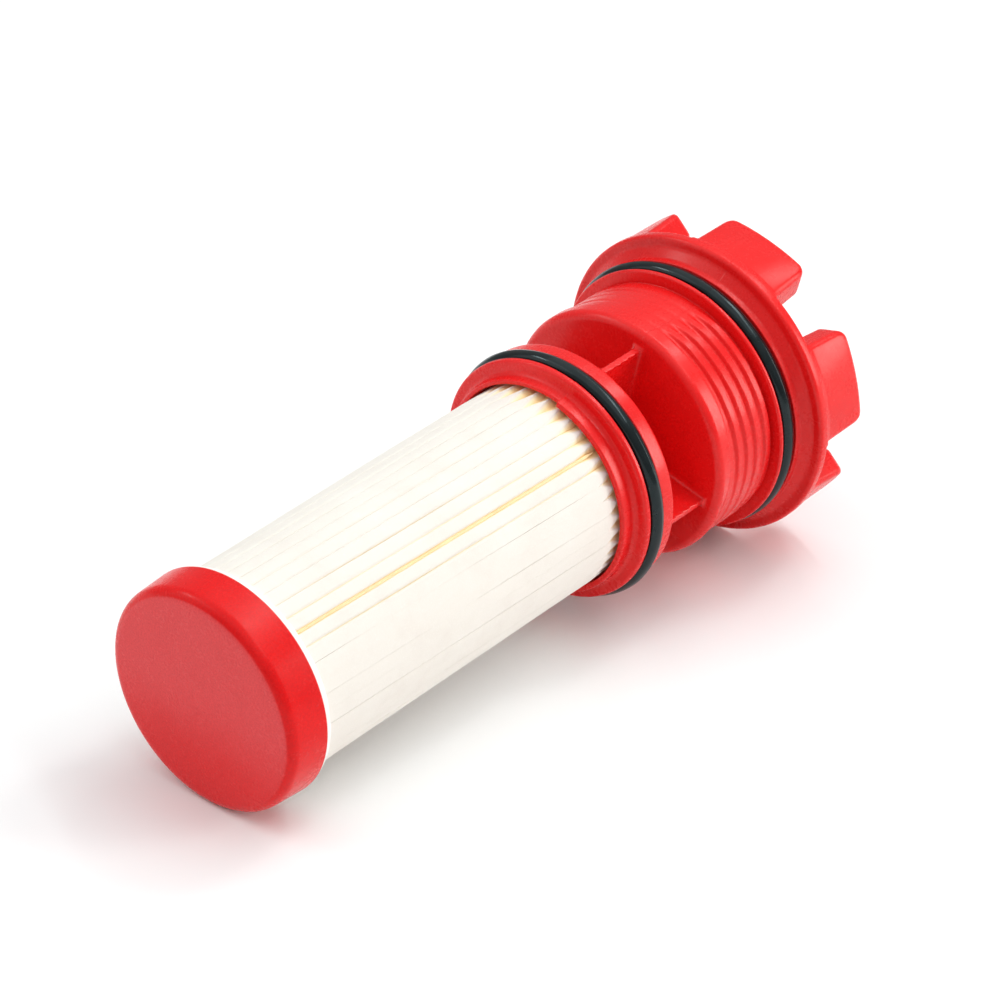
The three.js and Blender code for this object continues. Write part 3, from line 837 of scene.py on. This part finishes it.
def plug():
    front = rounded(
        [(101.4, 0.0, 0), (101.4, 22.85, 2.85), (104.45, 22.85, 0)],
        step=6,
    )
    face = np.array([[101.4, q] for q in (0, 3, 6, 9, 12, 15, 17.5, 19)])
    front = np.vstack([face, front[1:-1]])
    zone_x = np.arange(104.35, 115.75, 0.11)
    zone = np.stack([zone_x, np.full(len(zone_x), ROOT)], -1)
    rear = rounded(
        [
            (115.8, 22.15, 0),
            (115.95, 21.95, 0.12),
            (116.3, 21.95, 0.15),
            (116.35, 24.25, 0.38),
            (117.1, 24.25, 0.15),
            (117.1, 21.75, 0.3),
            (120.3, 21.75, 0.3),
            (120.3, 24.45, 0.22),
            (121.35, 24.6, 0.7),
            (122.75, 26.1, 1.1),
            (122.75, 28.0, 0.75),
            (124.9, 28.0, 0.55),
            (124.9, 22.4, 0.7),
            (122.2, 20.9, 1.5),
            (119.4, 19.45, 1.5),
            (104.0, 19.3, 1.4),
            (104.0, 0.0, 0),
        ],
        step=9,
    )
    floor = np.array([[104.0, q] for q in (16, 13, 10, 7, 4)])
    profile = np.vstack([front, zone, rear[:-1], floor, rear[-1:]])
    in_zone = np.zeros(len(profile) - 2, bool)
    in_zone[len(front) - 1 : len(front) - 1 + len(zone)] = True

    def warp(x, r, b):
        dd = angle_from(b, PARTING[0])
        dd = np.where(dd < 0, dd + 360.0, dd)  # 0 to 360 from the first parting line
        ease = smoothstep(dd, 46.0, 82.0) * (1 - smoothstep(dd, 184.0, 200.0))
        drop = 104.75 - 0.85 * ease
        land = ROOT + (CREST - ROOT) * (1 - smoothstep(x, drop, drop + 0.55))
        h = ROOT + thread_height(x, b)
        blend = np.maximum(land, h) + 0.06 * np.exp(-((land - h) ** 2) / 0.01)
        r2 = np.where(in_zone[None, :], blend, r)
        # before the zone the edge's arc also eases down where the drop starts early
        edge = (~in_zone)[None, :] & (x < 104.4) & (r > 22.0)
        r2 = np.where(edge, np.minimum(r2, land + 0.06 + (CREST - ROOT) * 0.0 + np.where(x < drop, 1.0, 0.0)), r2)
        r2 = mould_step(x, r2, b, 21.0)
        return x, r2

    v, f = lathe(profile, round_angles(400, PARTING), warp)
    return to_object("plug", v, f)


def plus_section(x, half, reach, corner, inner):
    """Cross section of the four webs: a plus sign with rounded arms."""
    pts = []
    for k in range(4):
        a = k * math.pi / 2
        arm = [
            (half, half, inner),
            (reach, half, corner),
            (reach, -half, corner),
        ]
        arm = [(half, -half, inner)] * 0 + arm
        pts += [
            (p * math.cos(-a) - q * math.sin(-a), p * math.sin(-a) + q * math.cos(-a), c) for p, q, c in arm
        ]
    return pts


def split_long(loop):
    """Puts seven points into each long side of a closed loop."""
    out = []
    for p, q in zip(loop, np.roll(loop, -1, axis=0)):
        out.append(p)
        if np.linalg.norm(q - p) > 6.0:
            out += [p + (q - p) * k / 8 for k in range(1, 8)]
    return np.array(out)


def webs():
    sections = []
    stations = np.concatenate(
        [
            [89.95],
            90.3 + 0.95 * (1 - np.cos(np.linspace(0, math.pi / 2, 8))),
            np.linspace(92.0, 99.6, 5),
            101.4 - 0.95 * (1 - np.cos(np.linspace(math.pi / 2, 0, 8))),
            [101.75],
        ]
    )
    a = math.radians(CLOCK)
    for x in stations:
        near = min(abs(x - 90.3), abs(x - 101.4)) if 90.3 < x < 101.4 else 0.0
        f = 0.9
        d = f - math.sqrt(max(0.0, f * f - max(0.0, f - near) ** 2)) if near < f else 0.0
        half = 0.62 + 0.05 * (x - 90.3) / 11.1 + d
        reach = 20.2 + 0.7 * d
        loop = rounded(plus_section(x, half, reach, min(0.3, half * 0.7), 0.9), closed=True, step=15)
        loop = split_long(loop)
        y = loop[:, 0] * math.cos(a) - loop[:, 1] * math.sin(a)
        z = loop[:, 0] * math.sin(a) + loop[:, 1] * math.cos(a)
        sections.append(np.stack([np.full(len(loop), x), y, z], -1))
    m = len(sections[0])
    verts = np.concatenate(sections)
    faces = []
    for i in range(len(sections) - 1):
        for k in range(m):
            k2 = (k + 1) % m
            faces.append((i * m + k, i * m + k2, (i + 1) * m + k2, (i + 1) * m + k))
    faces.append(tuple(reversed(range(m))))
    faces.append(tuple(range((len(sections) - 1) * m, len(sections) * m)))
    return to_object("webs", verts, oriented(verts, faces))


def tab(angle):
    """One grip tab, lofted along the axis from rounded sections."""
    x0, x1, rc = 124.2, 134.8, 2.3
    edge = 1.25
    stations = np.concatenate(
        [
            [x0],
            124.9 + 0.9 * (1 - np.cos(np.linspace(0, math.pi / 2, 7))),
            np.linspace(126.6, 132.1, 5),
            (x1 - rc) + rc * np.sin(np.linspace(0, math.pi / 2, 18))[:-1],
            [x1 - 0.012, x1],
        ]
    )
    sections = []
    for x in stations:
        t = (x - 124.9) / (x1 - 124.9)
        f = 0.85
        near = x - 124.9
        d = f - math.sqrt(max(0.0, f * f - max(0.0, f - near) ** 2)) if 0 <= near < f else (f if near < 0 else 0.0)
        hw = 9.1 - 0.55 * t + d
        if x > x1 - rc:
            hw = (9.1 - 0.55 * t) - rc + math.sqrt(max(0.0, rc * rc - (x - (x1 - rc)) ** 2))
        r_out = 27.66 - 0.12 * t + 0.32 * d
        r_in = 22.72 + 0.05 * t - d
        if x > x1 - edge:
            e = edge - math.sqrt(max(0.0, edge * edge - (x - (x1 - edge)) ** 2))
            r_out -= e
            r_in += e
            hw -= 0.0
        co = min(0.85, (r_out - r_in) / 2 - 0.05)
        # half loop over the outer face, then back along the inner face
        top = [(-hw, (r_in + r_out) / 2)]
        for q in np.linspace(0, math.pi / 2, 5):
            top.append((-hw + co - co * math.cos(q), r_out - co + co * math.sin(q)))
        for q in np.linspace(-1, 1, 21)[1:-1]:
            top.append((q * (hw - co), r_out))
        for q in np.linspace(0, math.pi / 2, 5):
            top.append((hw - co + co * math.sin(q), r_out - co + co * math.cos(q)))
        top.append((hw, (r_in + r_out) / 2))
        bottom = [(s, r_in + r_out - rr) for s, rr in top[1:-1]][::-1]
        # each half of the loop needs the same count
        loop = top + [(hw, (r_in + r_out) / 2 - 0.02)] + bottom + [(-hw, (r_in + r_out) / 2 - 0.02)]
        pts = []
        a = math.radians(angle)
        for s, rr in loop:
            # the faces flatten towards the tip
            flat = 0.5 * float(smoothstep(t, 0.0, 1.0)) * (s / 8.6) ** 2
            u = math.sqrt(max(0.0, rr * rr - s * s)) + flat
            pts.append((x, u * math.cos(a) - s * math.sin(a), u * math.sin(a) + s * math.cos(a)))
        sections.append(np.array(pts))
    v, f = loft(sections)
    return to_object("tab", v, f)


def disc(x0, x1, radius, y, z, seg=40):
    """A short pin along X for the ejector marks and the gate."""
    q = np.linspace(0, 2 * math.pi, seg, endpoint=False)
    rings = [np.stack([np.full(seg, x), y + radius * np.cos(q), z + radius * np.sin(q)], -1) for x in (x0, x1)]
    v = np.concatenate(rings)
    f = [(k, (k + 1) % seg, seg + (k + 1) % seg, seg + k) for k in range(seg)]
    f += [tuple(reversed(range(seg))), tuple(range(seg, 2 * seg))]
    return to_object("pin", v, oriented(v, f))


def header():
    body = collar()
    combine(body, [plug(), webs()] + [tab(CLOCK + 30 + 60 * k) for k in range(6)])
    marks = []
    for k in range(3):
        a = math.radians(CLOCK + 45 + 120 * k)
        marks.append(disc(103.9, 104.12, 1.75, 12.5 * math.cos(a), 12.5 * math.sin(a)))
    combine(body, marks, "DIFFERENCE")
    combine(body, [disc(103.8, 104.55, 1.1, 0.0, 0.0)])
    finish_shading(body.data, 32)
    return place(weighted(body), RED_HEADER, "red_nylon", "header")


# ---------------------------------------------------------------------- O-rings
def o_ring(name, x0, radius, section, material, node, seed, sag, sag_to, clear):
    n, m = 320, 40
    q = np.linspace(0, 2 * math.pi, m, endpoint=False)
    extra = np.array([-0.05, 0.05])
    q = np.sort(np.concatenate([q, (extra) % (2 * math.pi), math.pi + extra]))
    m = len(q)
    flash = 0.028 * (np.exp(-((np.minimum(q, 2 * math.pi - q) / 0.05) ** 2)) + np.exp(-(((q - math.pi) / 0.05) ** 2)))
    b = np.linspace(0, 2 * math.pi, n, endpoint=False)
    deg = np.degrees(b)
    wob = 0.03 * periodic_noise(seed, 4, deg) + sag * np.cos(np.radians(deg - sag_to))
    tilt = 0.03 * periodic_noise(seed + 1, 3, deg)
    verts = []
    for i in range(n):
        rr = section + flash
        x = x0 + tilt[i] + rr * np.sin(q)
        r = max(radius + wob[i], clear + section) + rr * np.cos(q) * 0.99
        verts.append(np.stack([x, r * math.cos(b[i]), r * math.sin(b[i])], -1))
    verts = np.concatenate(verts)
    faces = []
    for i in range(n):
        j = (i + 1) % n
        for k in range(m):
            k2 = (k + 1) % m
            faces.append((i * m + k, j * m + k, j * m + k2, i * m + k2))
    obj = to_object(name, verts, oriented(verts, faces), 60)
    return place(obj, material, "black_rubber", node)


end_cap()
cap_adhesive()
pleated_media()
side_seam()
core_tube()
header_adhesive()
header()
o_ring("collar_seal", 85.78, 21.38, 1.35, RUBBER_1, "collar_o_ring", 41, 0.3, 168.0, 19.83)
o_ring("flange_seal", 118.85, 23.43, 1.34, RUBBER_2, "flange_o_ring", 47, 0.12, 65.0, 21.78)


# ------------------------------------------------------------------------ stage
def stage():
    scene = bpy.context.scene
    scene.view_settings.view_transform = "Standard"
    scene.view_settings.look = "None"
    scene.view_settings.exposure = 0.0
    scene.view_settings.gamma = 1.0

    # the filter rests on the flange's rim and the end cap's rim
    (x_a, r_a), (x_b, r_b) = (7.5, 20.10), (124.3, 28.05)
    slope = (r_b - r_a) / (x_b - x_a)
    size = 3000.0
    corners = []
    for x, y in ((-size, -size), (size, -size), (size, size), (-size, size)):
        corners.append((x, y, -r_a - slope * (x - x_a) - 0.02))
    floor = to_object("floor", np.array(corners), [(0, 1, 2, 3)])
    floor.data.materials.append(floor_white("floor_white"))

    world = bpy.data.worlds.new("studio")
    world.use_nodes = True
    # a studio tent that is brighter overhead than at the horizon
    tree = world.node_tree
    where = tree.nodes.new("ShaderNodeTexCoord")
    split = tree.nodes.new("ShaderNodeSeparateXYZ")
    tent = tree.nodes.new("ShaderNodeValToRGB")
    tent.color_ramp.elements[0].position = 0.04
    tent.color_ramp.elements[0].color = (0.36, 0.36, 0.36, 1.0)
    tent.color_ramp.elements[1].position = 0.75
    tent.color_ramp.elements[1].color = (0.61, 0.61, 0.61, 1.0)
    tree.links.new(where.outputs["Generated"], split.inputs[0])
    tree.links.new(split.outputs[2], tent.inputs[0])
    tree.links.new(tent.outputs[0], tree.nodes["Background"].inputs["Color"])
    tree.nodes["Background"].inputs["Strength"].default_value = 1.0
    scene.world = world

    centre = Vector((0.066, 0.0, 0.0))
    right = Vector((0.6538, -0.7567, 0.0))
    up = Vector((0.4215, 0.3642, 0.8305))
    back = Vector((-0.6284, -0.5430, 0.5570))

    def softbox(name, direction, distance, size, power, colour=(1, 1, 1)):
        data = bpy.data.lights.new(name, "AREA")
        data.shape = "RECTANGLE"
        data.size, data.size_y = size
        data.energy = power
        data.color = colour
        obj = bpy.data.objects.new(name, data)
        d = (right * direction[0] + up * direction[1] + back * direction[2]).normalized()
        obj.location = centre + d * distance
        obj.rotation_mode = "QUATERNION"
        obj.rotation_quaternion = d.to_track_quat("Z", "Y")
        scene.collection.objects.link(obj)
        return obj

    softbox("overhead", (0.0, 0.8305, 0.557), 1.5, (2.5, 2.5), 11.5, (0.97, 1.0, 1.0))
    softbox("side", (0.96, 0.22, 0.17), 0.9, (0.22, 0.5), 3.2, (1.0, 0.965, 0.93))
    softbox("left", (-0.85, 0.40, 0.30), 1.0, (0.6, 0.8), 1.2)
    softbox("band", (0.52, 0.84, 0.12), 0.9, (0.16, 0.22), 0.9)
    softbox("glint", (-0.74, 0.62, 0.18), 0.9, (0.25, 0.08), 0.6, (0.90, 1.0, 1.0))
    softbox("strip", (0.40, 0.84, 0.36), 0.9, (1.1, 0.07), 2.2, (0.90, 1.0, 1.0))

    cam_data = bpy.data.cameras.new("camera")
    cam_data.sensor_width = 36.0
    cam_data.lens = 151.2
    cam_data.clip_start = 0.01
    cam_data.clip_end = 20.0
    cam = bpy.data.objects.new("camera", cam_data)
    rot = Matrix((right, up, back)).transposed()
    cam.matrix_world = Matrix.Translation(Vector((-0.3666, -0.3785, 0.3902))) @ rot.to_4x4()
    scene.collection.objects.link(cam)
    scene.camera = cam


stage()
